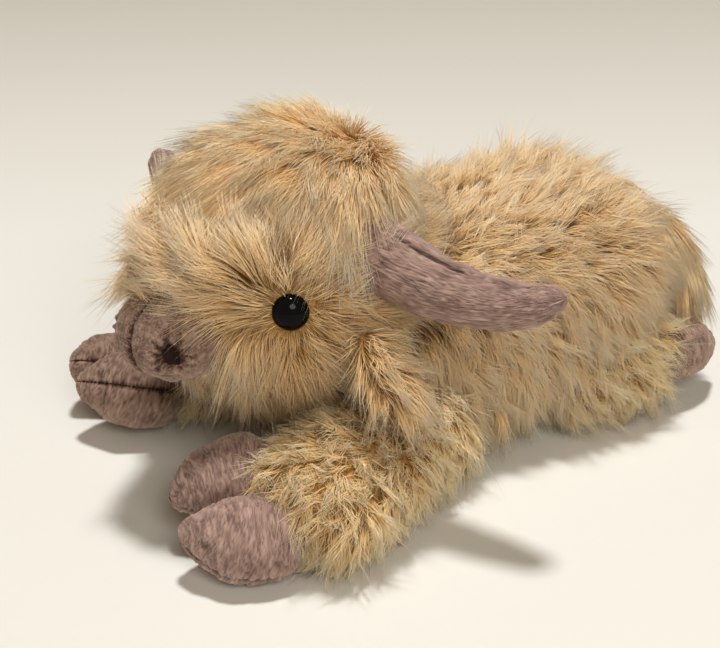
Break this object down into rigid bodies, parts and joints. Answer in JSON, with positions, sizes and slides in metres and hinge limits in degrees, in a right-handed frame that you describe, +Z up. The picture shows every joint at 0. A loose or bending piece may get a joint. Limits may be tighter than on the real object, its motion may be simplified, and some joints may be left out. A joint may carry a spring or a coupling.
{
  "type": "plush cow",
  "caption": "Long-haired plush highland cow lying on its belly, with curved horns, a bare muzzle and split hooves; head, legs, ears and tail move.",
  "frame": {"origin": "on the floor, in the middle of the flat patch that the belly rests on", "axes": "-Y towards the nose, +X towards the cow's left side, +Z up"},
  "size_m": [0.2573, 0.2993, 0.1629],
  "materials": {
    "long_fur": "blond long-pile faux fur, dark roots and cream tips",
    "silky_fur": "longer, silkier golden fibre",
    "suede_plush": "short-pile mauve-brown plush, finely wrinkled",
    "nostril_cloth": "dark brown cloth drawn into a pit",
    "eye_plastic": "polished black dome",
    "washer_plastic": "plain moulded lock washer",
    "fibre_filling": "white polyester fibre",
    "bead_bag": "cotton bag of plastic pellets"
  },
  "bodies": {
    "torso": {"torso_cover": "long_fur", "torso_stuffing": "fibre_filling", "belly_bean_bag": "bead_bag"},
    "neck": {"neck_stuffing": "fibre_filling"},
    "head": {"head_cover": "long_fur", "head_stuffing": "fibre_filling", "forelock": "silky_fur", "muzzle_cover": "suede_plush", "muzzle_stuffing": "fibre_filling", "nostril_left": "nostril_cloth", "nostril_right": "nostril_cloth", "eye_left": "eye_plastic", "eye_right": "eye_plastic", "eye_washer_left": "washer_plastic", "eye_washer_right": "washer_plastic", "horn_left": "suede_plush", "horn_right": "suede_plush", "horn_stuffing_left": "fibre_filling", "horn_stuffing_right": "fibre_filling"},
    "tail": {"tail_cord": "long_fur", "tail_tuft": "silky_fur"},
    "ear_left": {"ear_left": "long_fur"},
    "ear_right": {"ear_right": "long_fur"},
    "front_leg_left": {"front_leg_left_cover": "long_fur", "front_leg_left_stuffing": "fibre_filling", "front_toe_left_inner": "suede_plush", "front_toe_left_outer": "suede_plush"},
    "front_leg_right": {"front_leg_right_cover": "long_fur", "front_leg_right_stuffing": "fibre_filling", "front_toe_right_inner": "suede_plush", "front_toe_right_outer": "suede_plush"},
    "hind_leg_left": {"hind_leg_left_cover": "long_fur", "hind_leg_left_stuffing": "fibre_filling", "hind_toe_left_inner": "suede_plush", "hind_toe_left_outer": "suede_plush"},
    "hind_leg_right": {"hind_leg_right_cover": "long_fur", "hind_leg_right_stuffing": "fibre_filling", "hind_toe_right_inner": "suede_plush", "hind_toe_right_outer": "suede_plush"}
  },
  "joints": [
    {"name": "head_turn", "type": "hinge", "parent": "torso", "child": "neck", "pos_m": [0, -0.084, 0.092], "axis": [0, 0, 1], "range_deg": [-12, 12], "stiffness_Nm_per_rad": 0.12},
    {"name": "head_nod", "type": "hinge", "parent": "neck", "child": "head", "pos_m": [0, -0.084, 0.092], "axis": [-0.973, -0.2246, -0.0523], "range_deg": [-4, 11], "stiffness_Nm_per_rad": 2},
    {"name": "tail_lift", "type": "hinge", "parent": "torso", "child": "tail", "pos_m": [0.002, 0.052, 0.105], "axis": [1, 0, 0], "range_deg": [0, 44]},
    {"name": "ear_flop_left", "type": "hinge", "parent": "head", "child": "ear_left", "pos_m": [0.06483, -0.10393, 0.09007], "axis": [0.225, -0.9744, 0], "range_deg": [0, 40]},
    {"name": "ear_flop_right", "type": "hinge", "parent": "head", "child": "ear_right", "pos_m": [-0.04902, -0.13021, 0.08395], "axis": [-0.225, 0.9744, 0], "range_deg": [0, 40]},
    {"name": "front_leg_splay_left", "type": "hinge", "parent": "torso", "child": "front_leg_left", "pos_m": [0.046, -0.064, 0.0255], "axis": [0, 0, 1], "range_deg": [0, 20]},
    {"name": "front_leg_splay_right", "type": "hinge", "parent": "torso", "child": "front_leg_right", "pos_m": [-0.046, -0.064, 0.0255], "axis": [0, 0, -1], "range_deg": [0, 20]},
    {"name": "hind_leg_splay_left", "type": "hinge", "parent": "torso", "child": "hind_leg_left", "pos_m": [0.037, 0.03, 0.0265], "axis": [0, 0, -1], "range_deg": [0, 20]},
    {"name": "hind_leg_splay_right", "type": "hinge", "parent": "torso", "child": "hind_leg_right", "pos_m": [-0.037, 0.03, 0.0265], "axis": [0, 0, 1], "range_deg": [0, 20]}
  ]
}
